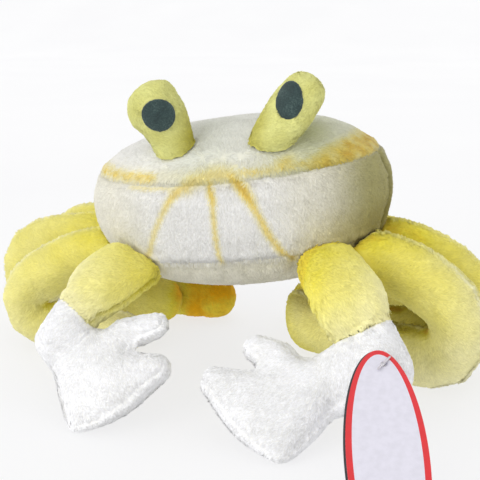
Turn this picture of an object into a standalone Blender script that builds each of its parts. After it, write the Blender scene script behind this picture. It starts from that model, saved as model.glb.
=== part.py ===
"""Stuffed plush ghost crab, about 290 mm across its legs, standing on six curled legs and two claws.

Metres, +Z up, face towards -Y. Every sewn piece is its own closed solid, and its surface is where
the tips of the pile reach. Pieces that are sewn to each other stop GAP short of touching.
"""

import math

import bmesh
import bpy
from mathutils import Matrix, Vector

MM = 0.001
GAP = 0.3 * MM
LEFT, RIGHT = "left", "right"  # as seen from the front, so left is -X
SIDES = {LEFT: -1, RIGHT: 1}

# The origin of these numbers is on the floor below the middle of the shell. to_origin moves it.
# Body shell: four panels of one puffed form, leaning a little to the left.
# It is widest well above its middle, so it reaches further down from there than up.
BODY_HALF_X, BODY_HALF_Y = 80.0 * MM, 57.0 * MM
BODY_RISE, BODY_DROP = 33.5 * MM, 53.5 * MM
BODY_CENTRE = Vector((-2.0, 0.0, 99.6)) * MM
BODY_ROLL = math.radians(6.8)
BODY_PLAN_POWER = 2.2
BODY_TOP_POWER = 2.15
BODY_BELLY_POWER = 2.7
BODY_AROUND, BODY_DOWN = 36, 18
TOP_SEAM_Z = 11.0 * MM  # the seams' places in the body's own frame
BELLY_SEAM_Z = -31.5 * MM
SIDE_SEAM_Y = -12.0 * MM

# Legs: each is a tube that arches outward, turns under at the knee and ends in a foot below the body.
LEG_SIDES = 12
FOOT_SHARE = 0.95  # radius at the toe over the radius at the hip
FOOT_FLAT = 0.7 * MM  # how far the floor flattens a leg
LEG_STEP = 10.0 * MM
KNEE_END_TURN, FOOT_END_TURN = 172.0, 181.0
# name, side; hip x and y; headings of thigh and foot from straight sideways towards the back;
# how far below level the thigh points at the hip and at the knee; lengths of thigh and foot;
# radius of the tube and of the bend at the knee
LEGS = (
    ("front", LEFT, 48, -16, 1, -6, -4, 40, 77, 44, 12.8, 13.7),
    ("middle", LEFT, 49.5, 11, 6, -21, -7, 14.5, 76, 62, 14.6, 18.0),
    ("rear", LEFT, 41, 41.5, 19, 6, -4, 13.5, 87, 87, 13.7, 17.0),
    ("front", RIGHT, 50.5, -15.5, -11, -28, -16, 45.5, 65.5, 33, 15.4, 17.8),
    ("middle", RIGHT, 52, 14, -12, -11, -19, 41, 67, 71, 16.0, 17.0),
    ("rear", RIGHT, 34, 41, 29, 7, -6, 28, 71.5, 62, 13.9, 14.7),
)

# Arms: flattened tubes. Centre, half width and half thickness, and the way the width lies.
ARM_SIDES = 16
ARMS = {
    LEFT: (
        ((-44, -25, 65), 11, 11), ((-46, -43, 62), 15, 12.5),
        ((-55, -63, 55), 16, 12.5), ((-65, -73.5, 44), 12, 11),
    ),
    RIGHT: (
        ((50, -27, 68), 16, 12), ((56, -45, 66), 19.5, 13.5),
        ((66, -63, 58.5), 20, 13.5), ((74, -70.5, 45), 17, 12),
    ),
}
ARM_ACROSS = {LEFT: (0.5, -0.6, -0.6), RIGHT: (0.95, 0.2, -0.2)}
# Cuffs: stuffed elbows that join an arm to a claw, drawn tight over a ball.
CUFF_BALLS = {LEFT: ((-70.7, -81, 31.5), 13.5), RIGHT: ((81.3, -83, 30.5), 15.5)}

# Claws: a flat mitten of palm, finger and thumb, drawn in a plane of its own.
# u runs from the wrist to the fingertips and v from the thumb to the heel.
# Each row is a centre (u, v), half width and half thickness in millimetres, and the degrees
# by which the section there turns from v towards -u.
CLAW_SIDES = 14
HAND = (
    ((-3.5, 0.5), 17, 10.5, 23), ((3.5, 7), 22, 9.5, 14), ((11.5, 13.5), 27.5, 9, 4),
    ((20, 13.5), 25, 9, 0), ((28, 13.8), 19.5, 9, -2), ((37, 10.5), 14, 8, -8),
    ((47, 4.0), 7.5, 6.5, -16),
)
HAND_SPLIT = 9  # stations of the finished line that make the palm
HAND_TIP = 5.0
THUMB = (((9, -5), 7.5, 6, -28), ((20, -12.5), 9.5, 7.5, -27), ((33, -19), 6.8, 6, -27))
THUMB_TIP = 5.5
THUMB_REACH = {LEFT: 1.07, RIGHT: 0.91}  # how far out each thumb's rows lie
# wrist, direction of u, direction of v
CLAW_PLACES = {
    LEFT: ((-60.5, -82, 25.8), (0.96, -0.255, 0.092), (-0.14, -0.755, -0.64)),
    RIGHT: ((53.3, -90, 23.6), (-0.988, -0.13, 0.076), (0.064, -0.822, -0.565)),
}

# Eyes: flattened clubs on the front of the carapace, each with an oval felt pupil.
EYE_SIDES = 16
EYE_ROWS = ((10.5, 8.0), (10.0, 7.8), (11.0, 8.2), (13.0, 9.0), (14.3, 9.5), (13.2, 9.0))
EYE_DOME = 8.0 * MM
# root inside the carapace; centre of the head's dome; the way the pupil looks; its rows up the stalk;
# the stalk's width as a share of the rows above; half width and half height of the pupil
EYES = {
    LEFT: ((-18, -35, 104), (-36, -46, 147.5), (0.32, -0.91, -0.26), 4.35, 0.96, 8.0, 7.7),
    RIGHT: ((11, -34, 109), (38, -38, 151), (-0.40, -0.91, 0.05), 4.5, 0.88, 7.0, 8.9),
}
PUPIL_THICKNESS = 1.2 * MM
PUPIL_SIDES = 24
PUPIL_PLUG = 24 * MM  # length of the plug that a pupil is cut from

# Tag: an oval card on a plastic fastener, which leans from the right cuff to the floor.
CARD_TOP = Vector((81.6, -103.5, 48.0)) * MM
CARD_FOOT = Vector((99.5, -199.0, 0.6)) * MM
CARD_ACROSS = Vector((0.99, 0.13, 0.0))
CARD_HALF_WIDTH = 15.9 * MM
CARD_THICKNESS = 0.9 * MM
CARD_SIDES = 40
HOLE_PLACE = Vector((2.0, -8.0, 0.0)) * MM  # from the card's top
HOLE_RADIUS, HOLE_SIDES = 1.5 * MM, 16
# Fastener: a bar across the card's face and a thread from its middle through the hole to the cuff.
BAR_RADIUS, BAR_HALF_LENGTH = 0.6 * MM, 4.2 * MM
BAR_WAY = Vector((-0.62, -0.78, 0.0))
THREAD_RADIUS = 0.5 * MM
THREAD_SIDES = 6


def clear_scene():
    for thing in list(bpy.data.objects):
        bpy.data.objects.remove(thing)


def material(name, colour, roughness, metallic=0.0):
    made = bpy.data.materials.get(name) or bpy.data.materials.new(name)
    made.use_nodes = True
    shader = made.node_tree.nodes["Principled BSDF"]
    shader.inputs["Base Color"].default_value = (*colour, 1.0)
    shader.inputs["Roughness"].default_value = roughness
    shader.inputs["Metallic"].default_value = metallic
    return made


def finish_mesh(name, shape, finish, cutter=False):
    """Turns a bmesh into an object. A cutter is left out of the build."""
    bmesh.ops.recalc_face_normals(shape, faces=shape.faces)
    data = bpy.data.meshes.new(name)
    shape.to_mesh(data)
    shape.free()
    data.shade_smooth()
    data.set_sharp_from_angle(angle=math.radians(40))
    thing = bpy.data.objects.new(name, data)
    bpy.context.scene.collection.objects.link(thing)
    if cutter:
        thing.hide_render = True
        thing.display_type = "WIRE"
    else:
        data.materials.append(finish)
    return thing


def trim(thing, *cutters):
    """Cuts a piece back to where its neighbours begin."""
    for cutter in cutters:
        cut = thing.modifiers.new("trim " + cutter.name, "BOOLEAN")
        cut.operation = "DIFFERENCE"
        cut.object = cutter


# --- swept forms -----------------------------------------------------------------------------


def across_path(centre, forward, side, half_side, half_up):
    """Matrix that places a unit circle across a path."""
    forward = forward.normalized()
    across = (side - forward * side.dot(forward)).normalized()
    up = forward.cross(across)
    turn = Matrix((across * half_side, up * half_up, forward)).transposed().to_4x4()
    return Matrix.Translation(centre) @ turn


def rounded(end, forward, half_side, half_up, length):
    """Shrinking stations that close a sweep with a dome."""
    made = []
    for degrees in (32, 58, 80):
        angle = math.radians(degrees)
        place = end + forward.normalized() * length * math.sin(angle)
        made.append((place, half_side * math.cos(angle), half_up * math.cos(angle)))
    return made


def along_line(rows):
    """Stations of (centre, way, half_side, half_up) from rows without the way the line goes."""
    centres = [row[0] for row in rows]
    ways = [b - a for a, b in zip([centres[0], *centres], [*centres[1:], centres[-1]])]
    return [(centre, way, wide, thick) for (centre, wide, thick), way in zip(rows, ways)]


def sweep(stations, side, sides, grow=0.0, first_round=0.0, last_round=0.0):
    """Closed tube through stations of (centre, way, half_side, half_up), with domed or flat ends."""
    rows = [(c, f, hs + grow, hu + grow) for c, f, hs, hu in stations]
    if first_round:
        c, f, hs, hu = rows[0]
        start = [(p, f, a, b) for p, a, b in rounded(c, -f, hs, hu, first_round + grow)]
        rows = [*reversed(start), *rows]
    if last_round:
        c, f, hs, hu = rows[-1]
        rows += [(p, f, a, b) for p, a, b in rounded(c, f, hs, hu, last_round + grow)]
    shape = bmesh.new()
    ring = bmesh.ops.create_circle(shape, segments=sides, radius=1.0)["verts"]
    edges = list(shape.edges)
    placed = Matrix.Identity(4)
    for i, (c, f, hs, hu) in enumerate(rows):
        if i:
            grown = bmesh.ops.extrude_edge_only(shape, edges=edges)["geom"]
            ring = [g for g in grown if isinstance(g, bmesh.types.BMVert)]
            edges = [g for g in grown if isinstance(g, bmesh.types.BMEdge)]
        target = across_path(c, f, side, hs, hu)
        bmesh.ops.transform(shape, matrix=target @ placed.inverted(), verts=ring)
        placed = target
    bmesh.ops.holes_fill(shape, edges=shape.edges, sides=0)
    return shape


def after_gap(stations):
    """The same line with its first station moved on by GAP."""
    centre, way, *sizes = stations[0]
    return [(centre + way.normalized() * GAP, way, *sizes), *stations[1:]]


def catmull_rom(p, q, r, s, t):
    square, cube = 2 * p - 5 * q + 4 * r - s, 3 * (q - r) + s - p
    return 0.5 * (2 * q + (r - p) * t + square * t**2 + cube * t**3)


def smooth_path(points, steps):
    """Catmull-Rom curve through rows of numbers, with steps stretches between two rows."""
    rows = [points[0], *points, points[-1]]
    made = []
    for four in zip(rows, rows[1:], rows[2:], rows[3:]):
        for i in range(steps):
            t = i / steps
            made.append(tuple(catmull_rom(*numbers, t) for numbers in zip(*four)))
    return [*made, points[-1]]


def disc(half_width, half_height, thickness, sides, centre=(0, 0, 0)):
    """Oval plate that lies across z."""
    shape = bmesh.new()
    bmesh.ops.create_cone(shape, cap_ends=True, segments=sides, radius1=1, radius2=1, depth=1)
    sizes = Matrix.Diagonal((half_width, half_height, thickness, 1))
    shape.transform(Matrix.Translation(centre) @ sizes)
    return shape


def stop_at_floor(shape):
    """Flattens whatever would reach below the floor."""
    everything = [*shape.verts, *shape.edges, *shape.faces]
    bmesh.ops.bisect_plane(
        shape, geom=everything, plane_co=(0, 0, 0), plane_no=(0, 0, -1), clear_outer=True
    )
    bmesh.ops.holes_fill(shape, edges=shape.edges, sides=0)
    return shape


# --- body ------------------------------------------------------------------------------------


def body_place():
    return Matrix.Translation(BODY_CENTRE) @ Matrix.Rotation(-BODY_ROLL, 4, "Y")


def body_form(grow=0.0):
    """The puffed shell before it is cut into panels, in its own frame."""
    shape = bmesh.new()
    bmesh.ops.create_uvsphere(shape, u_segments=BODY_AROUND, v_segments=BODY_DOWN, radius=1.0)
    for vert in shape.verts:
        reach, power = (BODY_RISE, BODY_TOP_POWER) if vert.co.z > 0 else (BODY_DROP, BODY_BELLY_POWER)
        half = (BODY_HALF_X + grow, BODY_HALF_Y + grow, reach + grow)
        x, y, z = (abs(c) / h for c, h in zip(vert.co, half))
        plan = (x**BODY_PLAN_POWER + y**BODY_PLAN_POWER) ** (power / BODY_PLAN_POWER)
        vert.co *= (plan + z**power) ** (-1 / power)
    return shape


def keep_side(shape, point, normal):
    """Cuts a closed form with a plane and keeps what lies behind the plane's normal."""
    everything = [*shape.verts, *shape.edges, *shape.faces]
    bmesh.ops.bisect_plane(shape, geom=everything, plane_co=point, plane_no=normal, clear_outer=True)
    bmesh.ops.holes_fill(shape, edges=shape.edges, sides=0)


def body_panel(name, finish, *cuts):
    shape = body_form()
    for point, normal in cuts:
        keep_side(shape, point, normal)
    shape.transform(body_place())
    return finish_mesh(name, shape, finish)


def make_body(finish):
    half_gap = GAP / 2
    up, back = Vector((0, 0, 1)), Vector((0, 1, 0))
    above_top, below_top = up * (TOP_SEAM_Z + half_gap), up * (TOP_SEAM_Z - half_gap)
    above_belly, below_belly = up * (BELLY_SEAM_Z + half_gap), up * (BELLY_SEAM_Z - half_gap)
    body_panel("carapace", finish, (above_top, -up))
    band = ((below_top, up), (above_belly, -up))
    body_panel("face", finish, *band, (back * (SIDE_SEAM_Y - half_gap), back))
    body_panel("rump", finish, *band, (back * (SIDE_SEAM_Y + half_gap), -back))
    body_panel("belly", finish, (below_belly, up))
    shape = body_form(GAP)
    shape.transform(body_place())
    return finish_mesh("body cutter", shape, None, cutter=True)


# --- legs ------------------------------------------------------------------------------------


def leg_stations(sign, hip_x, hip_y, thigh_way, foot_way, hip_turn, knee_turn, thigh, foot, radius, bend):
    """Centre line of a leg from hip to toe, with its radius, and how many stations make the thigh."""
    knee = bend * math.radians(KNEE_END_TURN - knee_turn)
    toe = radius * FOOT_SHARE
    stretches = (
        (thigh, hip_turn, knee_turn, thigh_way, thigh_way, radius, radius),
        (knee, knee_turn, KNEE_END_TURN, thigh_way, foot_way, radius, radius),
        (foot, KNEE_END_TURN, FOOT_END_TURN, foot_way, foot_way, radius, toe),
    )
    place = Vector((sign * hip_x, hip_y, 0)) * MM
    line = [(place.copy(), radius)]
    for number, (length, turn_0, turn_1, way_0, way_1, radius_0, radius_1) in enumerate(stretches):
        steps = max(2, round(length * MM / LEG_STEP))
        for i in range(steps):
            share = (i + 0.5) / steps
            turn = math.radians(turn_0 + (turn_1 - turn_0) * share)
            way = math.radians(way_0 + (way_1 - way_0) * share)
            away = Vector((sign * math.cos(way), math.sin(way), 0)) * math.cos(turn)
            place += (away - Vector((0, 0, math.sin(turn)))) * length * MM / steps
            line.append((place.copy(), radius_0 + (radius_1 - radius_0) * (i + 1) / steps))
        if number == 1:
            thigh_count = len(line) - steps // 2
    sole = min(centre.z - r * MM for centre, r in line) + FOOT_FLAT
    lowered = [(c - Vector((0, 0, sole)), r * MM, r * MM) for c, r in line]
    return along_line(lowered), thigh_count


def make_leg(name, side, sizes, finish, body_cutter):
    """Thigh and foot of one leg, and the cutter that other pieces give way to."""
    stations, split = leg_stations(SIDES[side], *sizes)
    across = Vector((0, 1, 0))
    hip, toe = stations[0][2], stations[-1][2]
    upper, lower = stations[:split], after_gap(stations[split - 1 :])
    thigh_form = stop_at_floor(sweep(upper, across, LEG_SIDES, first_round=hip))
    thigh_solid = finish_mesh(f"leg_{name}_{side}_thigh", thigh_form, finish)
    trim(thigh_solid, body_cutter)
    foot_form = stop_at_floor(sweep(lower, across, LEG_SIDES, last_round=toe))
    foot_solid = finish_mesh(f"leg_{name}_{side}_foot", foot_form, finish)
    whole = sweep(stations, across, LEG_SIDES, grow=GAP, first_round=hip, last_round=toe)
    cutter = finish_mesh(f"leg cutter {name} {side}", whole, None, cutter=True)
    return thigh_solid, foot_solid, cutter


def make_legs(finish, body_cutter):
    """All legs. Each gives way to the one before it where they press together."""
    made = {}
    for name, side, *sizes in LEGS:
        made[name, side] = make_leg(name, side, sizes, finish, body_cutter)
    for side in SIDES:
        for name, ahead in (("middle", "front"), ("rear", "middle")):
            thigh_solid, foot_solid, _ = made[name, side]
            trim(thigh_solid, made[ahead, side][2])
            trim(foot_solid, made[ahead, side][2])
    return made


# --- arms and claws --------------------------------------------------------------------------


def limb_stations(points, steps=3):
    rows = smooth_path([(*p, wide, thick) for p, wide, thick in points], steps)
    return along_line([(Vector(row[:3]) * MM, row[3] * MM, row[4] * MM) for row in rows])


def claw_axes(side):
    wrist, u, v = (Vector(row) for row in CLAW_PLACES[side])
    u.normalize()
    v = (v - u * v.dot(u)).normalized()
    return wrist * MM, u, v


def claw_stations(outline, side, reach=1.0):
    wrist, u, v = claw_axes(side)
    rows = [(along * reach, down * reach, *sizes) for (along, down), *sizes in outline]
    made = []
    for along, down, wide, thick, turn in smooth_path(rows, 3):
        way = u * math.cos(math.radians(turn)) + v * math.sin(math.radians(turn))
        made.append((wrist + (u * along + v * down) * MM, way, wide * MM, thick * MM))
    return made


def make_claw(side, finish):
    """Palm, finger and thumb, and the cutters that other pieces give way to."""
    v = claw_axes(side)[2]
    hand, thumb = claw_stations(HAND, side), claw_stations(THUMB, side, THUMB_REACH[side])
    palm_line, finger_line = hand[:HAND_SPLIT], after_gap(hand[HAND_SPLIT - 1 :])
    tips = {"last_round": HAND_TIP * MM}
    finish_mesh(f"claw_palm_{side}", stop_at_floor(sweep(palm_line, v, CLAW_SIDES)), finish)
    finish_mesh(f"claw_finger_{side}", stop_at_floor(sweep(finger_line, v, CLAW_SIDES, **tips)), finish)
    whole = sweep(hand, v, CLAW_SIDES, grow=GAP, **tips)
    hand_cutter = finish_mesh(f"hand cutter {side}", whole, None, cutter=True)
    tips = {"last_round": THUMB_TIP * MM}
    thumb_solid = finish_mesh(f"claw_thumb_{side}", sweep(thumb, v, CLAW_SIDES, **tips), finish)
    trim(thumb_solid, hand_cutter)
    whole = sweep(thumb, v, CLAW_SIDES, grow=GAP, **tips)
    thumb_cutter = finish_mesh(f"thumb cutter {side}", whole, None, cutter=True)
    return hand_cutter, thumb_cutter


def ring_points(centre, forward, side, half_side, half_up, sides):
    placed = across_path(centre, forward, side, half_side, half_up)
    turns = [2 * math.pi * i / sides for i in range(sides)]
    return [placed @ Vector((math.cos(turn), math.sin(turn), 0)) for turn in turns]


def cuff_form(side):
    """Hull of the arm's last ring, a ball at the elbow and the palm's first ring."""
    arm, hand = limb_stations(ARMS[side]), claw_stations(HAND, side)
    last, arm_way, *arm_sizes = arm[-1]
    first, hand_way, *hand_sizes = hand[0]
    start, end = last + arm_way.normalized() * GAP, first - hand_way * GAP
    shape = bmesh.new()
    centre, radius = CUFF_BALLS[side]
    place = Matrix.Translation(Vector(centre) * MM)
    bmesh.ops.create_icosphere(shape, subdivisions=3, radius=radius * MM, matrix=place)
    bmesh.ops.delete(shape, geom=shape.edges, context="EDGES_FACES")
    rings = ring_points(start, arm_way, Vector(ARM_ACROSS[side]), *arm_sizes, ARM_SIDES)
    rings += ring_points(end, hand_way, claw_axes(side)[2], *hand_sizes, CLAW_SIDES)
    for point in rings:
        shape.verts.new(point)
    hull = bmesh.ops.convex_hull(shape, input=shape.verts)
    inside = [g for g in hull["geom_interior"] + hull["geom_unused"] if isinstance(g, bmesh.types.BMVert)]
    bmesh.ops.delete(shape, geom=list(set(inside)), context="VERTS")
    return shape


def make_arm(side, white, yellow, body_cutter, leg_cutter):
    """Arm, cuff and claw of one side."""
    hand_cutter, thumb_cutter = make_claw(side, white)
    arm_line, across = limb_stations(ARMS[side]), Vector(ARM_ACROSS[side])
    arm = finish_mesh(f"arm_{side}", sweep(arm_line, across, ARM_SIDES), yellow)
    trim(arm, body_cutter, leg_cutter, hand_cutter, thumb_cutter)
    whole = sweep(arm_line, across, ARM_SIDES, grow=GAP)
    arm_cutter = finish_mesh(f"arm cutter {side}", whole, None, cutter=True)
    cuff = finish_mesh(f"cuff_{side}", cuff_form(side), white)
    trim(cuff, hand_cutter, thumb_cutter, arm_cutter, leg_cutter)


# --- eyes ------------------------------------------------------------------------------------


def eye_stations(side):
    base, tip = (Vector(p) * MM for p in EYES[side][:2])
    count, share = len(EYE_ROWS) - 1, EYES[side][4] * MM
    rows = [(base.lerp(tip, i / count), w * share, t * MM) for i, (w, t) in enumerate(EYE_ROWS)]
    return along_line(rows)


def make_eye(side, yellow, felt, body_cutter):
    """Eye stalk, and a pupil cut from a plug so that it lies on the stalk's curve."""
    stations = eye_stations(side)
    look = Vector(EYES[side][2]).normalized()
    axis = (stations[-1][0] - stations[0][0]).normalized()
    across = look.cross(axis)
    stalk_form = sweep(stations, across, EYE_SIDES, last_round=EYE_DOME)
    trim(finish_mesh(f"eye_stalk_{side}", stalk_form, yellow), body_cutter)

    place = EYES[side][3]
    middle = stations[int(place)][0].lerp(stations[int(place) + 1][0], place % 1)
    plug = disc(EYES[side][5] * MM, EYES[side][6] * MM, PUPIL_PLUG, PUPIL_SIDES)
    level = look.cross(Vector((0, 0, 1))).normalized()
    turn = Matrix((level, look.cross(level), look)).transposed().to_4x4()
    plug.transform(Matrix.Translation(middle + look * PUPIL_PLUG / 2) @ turn)
    pupil = finish_mesh(f"pupil_{side}", plug, felt)
    outer = sweep(stations, across, EYE_SIDES * 2, grow=GAP + PUPIL_THICKNESS, last_round=EYE_DOME)
    keep = pupil.modifiers.new("outer face", "BOOLEAN")
    keep.operation = "INTERSECT"
    keep.object = finish_mesh(f"pupil face {side}", outer, None, cutter=True)
    under = sweep(stations, across, EYE_SIDES * 2, grow=GAP, last_round=EYE_DOME)
    trim(pupil, finish_mesh(f"pupil seat {side}", under, None, cutter=True))


# --- tag -------------------------------------------------------------------------------------


def card_place():
    """Matrix from the card's own frame, x across, y up its length and z out of its face."""
    up = (CARD_TOP - CARD_FOOT).normalized()
    across = (CARD_ACROSS - up * CARD_ACROSS.dot(up)).normalized()
    turn = Matrix((across, up, across.cross(up))).transposed().to_4x4()
    return Matrix.Translation((CARD_TOP + CARD_FOOT) / 2) @ turn


def rod(points, radius):
    """Thin rod through points, with a blunt tip at each end."""
    line = along_line([(point, radius, radius) for point in points])
    return sweep(line, Vector((1, 0, 0)), THREAD_SIDES, first_round=radius, last_round=radius)


def make_tag(board, plastic):
    """Card with its hole, and the fastener that holds it."""
    half_length = (CARD_TOP - CARD_FOOT).length / 2
    place = card_place()
    hole = Vector((0, half_length, 0)) + HOLE_PLACE
    form = disc(CARD_HALF_WIDTH, half_length, CARD_THICKNESS, CARD_SIDES)
    form.transform(place)
    card = finish_mesh("tag_card", form, board)
    form = disc(HOLE_RADIUS, HOLE_RADIUS, CARD_THICKNESS * 4, HOLE_SIDES, hole)
    form.transform(place)
    trim(card, finish_mesh("tag hole", form, None, cutter=True))

    lift = Vector((0, 0, CARD_THICKNESS / 2 + BAR_RADIUS + GAP))
    ends = [place @ (hole + lift + BAR_WAY * reach) for reach in (-BAR_HALF_LENGTH, BAR_HALF_LENGTH)]
    bar = finish_mesh("tag_fastener", rod(ends, BAR_RADIUS), plastic)
    centre, radius = CUFF_BALLS[RIGHT]
    ball = Vector(centre) * MM
    front, back = place @ (hole + lift), place @ (hole - lift * 2)
    seat = ball + (back - ball).normalized() * (radius * MM + GAP)
    thread = finish_mesh("fastener thread", rod([front, back, seat], THREAD_RADIUS), None, cutter=True)
    join = bar.modifiers.new("thread", "BOOLEAN")
    join.operation = "UNION"
    join.object = thread


def to_origin():
    """Moves everything so that the origin is at the middle of the nodes' box, on the floor."""
    graph = bpy.context.evaluated_depsgraph_get()
    nodes = [thing.evaluated_get(graph) for thing in bpy.data.objects if not thing.hide_render]
    corners = [Vector(corner) for thing in nodes for corner in thing.bound_box]
    for axis in "xy":
        values = [getattr(corner, axis) for corner in corners]
        middle = (min(values) + max(values)) / 2
        for thing in bpy.data.objects:
            setattr(thing.location, axis, -middle)


def main():
    clear_scene()
    white = material("white plush", (0.86, 0.86, 0.84), 0.9)
    yellow = material("yellow plush", (0.79, 0.70, 0.20), 0.9)
    felt = material("dark felt", (0.03, 0.05, 0.05), 0.8)
    board = material("tag card", (0.80, 0.80, 0.85), 0.5)
    plastic = material("clear plastic", (0.75, 0.75, 0.75), 0.3)
    body_cutter = make_body(white)
    legs = make_legs(yellow, body_cutter)
    for side in SIDES:
        make_arm(side, white, yellow, body_cutter, legs["front", side][2])
        make_eye(side, yellow, felt, body_cutter)
    make_tag(board, plastic)
    to_origin()


main()
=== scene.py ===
"""Looks of a stuffed ghost crab toy: an add-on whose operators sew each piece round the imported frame."""

import heapq
import math

import bmesh
import bpy
import numpy as np
from bpy.props import FloatProperty, PointerProperty
from mathutils import Matrix, Vector
from mathutils.bvhtree import BVHTree


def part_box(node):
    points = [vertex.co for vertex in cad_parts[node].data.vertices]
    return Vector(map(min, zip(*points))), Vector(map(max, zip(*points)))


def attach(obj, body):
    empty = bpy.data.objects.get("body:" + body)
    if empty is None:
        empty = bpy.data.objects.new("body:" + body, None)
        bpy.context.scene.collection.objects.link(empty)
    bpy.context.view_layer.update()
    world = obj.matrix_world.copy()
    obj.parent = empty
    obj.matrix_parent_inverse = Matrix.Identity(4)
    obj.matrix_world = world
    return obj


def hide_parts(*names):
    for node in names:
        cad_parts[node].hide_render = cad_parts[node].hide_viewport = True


bl_info = {
    "name": "Ghost crab toy",
    "version": (1, 0, 0),
    "blender": (4, 5, 0),
    "location": "3D View > Sidebar > Crab",
    "description": "Sews a stuffed ghost crab toy round its packed frame",
    "category": "Object",
}

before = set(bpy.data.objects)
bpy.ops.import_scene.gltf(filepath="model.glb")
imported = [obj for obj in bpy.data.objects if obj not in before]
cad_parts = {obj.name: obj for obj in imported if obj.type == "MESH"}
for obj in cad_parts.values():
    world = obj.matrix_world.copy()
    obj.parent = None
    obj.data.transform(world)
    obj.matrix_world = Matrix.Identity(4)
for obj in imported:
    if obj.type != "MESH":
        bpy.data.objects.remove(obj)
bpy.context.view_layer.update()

MM = 0.001
LEFT, RIGHT = "left", "right"
SIDES = {LEFT: -1, RIGHT: 1}  # as seen from in front of the crab, with the sign of x there

SHELL_NODES = ("carapace", "face", "rump", "belly")
SHELL_ROLL = math.radians(6.8)
SHELL_HEIGHT = 99.6 * MM
SHELL_OFF_BOX = 0.43 * MM  # the rolled shell's box lies this far to the right of its middle
STAND = Vector((-2.0, 0.0, 99.6)) * MM  # the shell's middle, seen from the point that the crab stands over

WELD = 0.01 * MM
GAP_CLOSER = 0.25 * MM  # each node grows by this, so that the sewing gaps in one piece close
SIM_SCALE = 10.0  # cloth behaves at the size of a cushion, so pieces are simulated larger
SIM_FRAMES = 20
MESHES = {  # cells of each kind's even mesh in mm, rounds of smoothing, and times its faces are divided
    "shell": (3.7, 6, 2),
    "leg": (2.2, 60, 1),
    "arm": (2.0, 24, 1),
    "claw": (1.9, 20, 1),
    "stalk": (1.6, 12, 1),
    "pupil": (0.65, 2, 1),
}
FLOOR_REST = 0.2 * MM  # height of a skin's underside where it stands on the floor
COAT_REST = 0.05 * MM  # height of the coat's underside there
TOUCH = (4.0 * MM, 0.5 * MM)  # distances from another piece where touch begins and where it is full
HIDE = (1.6 * MM, 0.5 * MM)  # where the coat begins to thin out there, and where it ends
FAR = 99.0  # in mm, further than anything on the crab is from a seam or a crease


def joined_box(names):
    corners = [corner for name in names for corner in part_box(name)]
    low = Vector([min(corner[axis] for corner in corners) for axis in range(3)])
    high = Vector([max(corner[axis] for corner in corners) for axis in range(3)])
    return low, high


def shell_middle():
    low, high = joined_box(SHELL_NODES)
    middle = (low + high) / 2
    return Vector((middle.x - SHELL_OFF_BOX, middle.y, SHELL_HEIGHT))


SHELL_MIDDLE = shell_middle()
ORIGIN = SHELL_MIDDLE - STAND


# --- arrays and meshes ---


def unit(vectors):
    return vectors / np.maximum(np.linalg.norm(vectors, axis=-1, keepdims=True), 1e-12)


def dot(a, b):
    return (a * b).sum(-1, keepdims=True)


def ease(low, high, values):
    """0 below low, 1 above high, smooth between; low may be the larger."""
    share = np.clip((values - low) / (high - low), 0, 1)
    return share * share * (3 - 2 * share)


def bump_of(values, middle, half):
    return np.exp(-(((values - middle) / half) ** 2))


def read(items, field, width, kind=np.float32):
    values = np.empty(len(items) * width, kind)
    items.foreach_get(field, values)
    return values.reshape(-1, width) if width > 1 else values


def points_of(mesh):
    return read(mesh.vertices, "co", 3).astype(float)


def normals_of(mesh):
    return read(mesh.vertex_normals, "vector", 3).astype(float)


def on_floor(points):
    """Presses whatever lies under the floor flat against it."""
    height = points[:, 2]
    return np.column_stack((points[:, :2], np.maximum(height, FLOOR_REST)))


def set_points(mesh, points):
    mesh.vertices.foreach_set("co", np.asarray(points, np.float32).ravel())
    mesh.update()


def edges_of(mesh):
    return read(mesh.edges, "vertices", 2, np.int32).T


def store(mesh, name, values):
    """Keeps one number, or a row of three, for each vertex."""
    kind, field = ("FLOAT", "value") if np.ndim(values) == 1 else ("FLOAT_VECTOR", "vector")
    layer = mesh.attributes.get(name) or mesh.attributes.new(name, kind, "POINT")
    layer.data.foreach_set(field, np.asarray(values, np.float32).ravel())


def stored(mesh, name):
    layer = mesh.attributes[name]
    field, width = ("value", 1) if layer.data_type == "FLOAT" else ("vector", 3)
    return read(layer.data, field, width).astype(float)


def neighbour_mean(mesh, values):
    """Mean of each vertex's neighbours, for an array with one row per vertex."""
    a, b = edges_of(mesh)
    count = len(values)
    total = [
        np.bincount(a, column[b], count) + np.bincount(b, column[a], count) for column in values.T
    ]
    return np.stack(total, 1) / np.bincount(np.concatenate((a, b)), minlength=count)[:, None]


def relax(mesh, rounds):
    """Smooths without shrinking: each small step in is followed by a step out."""
    points = points_of(mesh)
    for share in (0.5, -0.53) * rounds:
        points += share * (neighbour_mean(mesh, points) - points)
    set_points(mesh, points)


def new_object(name, data):
    thing = bpy.data.objects.new(name, data)
    bpy.context.scene.collection.objects.link(thing)
    return thing


def apply_modifiers(thing):
    graph = bpy.context.evaluated_depsgraph_get()
    made = bpy.data.meshes.new_from_object(
        thing.evaluated_get(graph), preserve_all_data_layers=True, depsgraph=graph
    )
    thing.modifiers.clear()
    spent, thing.data = thing.data, made
    bpy.data.meshes.remove(spent)
    made.name = thing.name


def mesh_of(shape, name):
    """Mesh of a finished bmesh, which is freed."""
    mesh = bpy.data.meshes.new(name)
    shape.to_mesh(mesh)
    shape.free()
    return mesh


def mesh_from(name, points, triangles):
    mesh = bpy.data.meshes.new(name)
    mesh.vertices.add(len(points))
    mesh.vertices.foreach_set("co", np.asarray(points, np.float32).ravel())
    mesh.loops.add(triangles.size)
    mesh.loops.foreach_set("vertex_index", triangles.astype(np.int32).ravel())
    mesh.polygons.add(len(triangles))
    mesh.polygons.foreach_set("loop_start", np.arange(0, triangles.size, 3, dtype=np.int32))
    mesh.update(calc_edges=True)
    mesh.polygons.foreach_set("use_smooth", np.ones(len(triangles), bool))
    return mesh


# --- sewn forms ---


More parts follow.
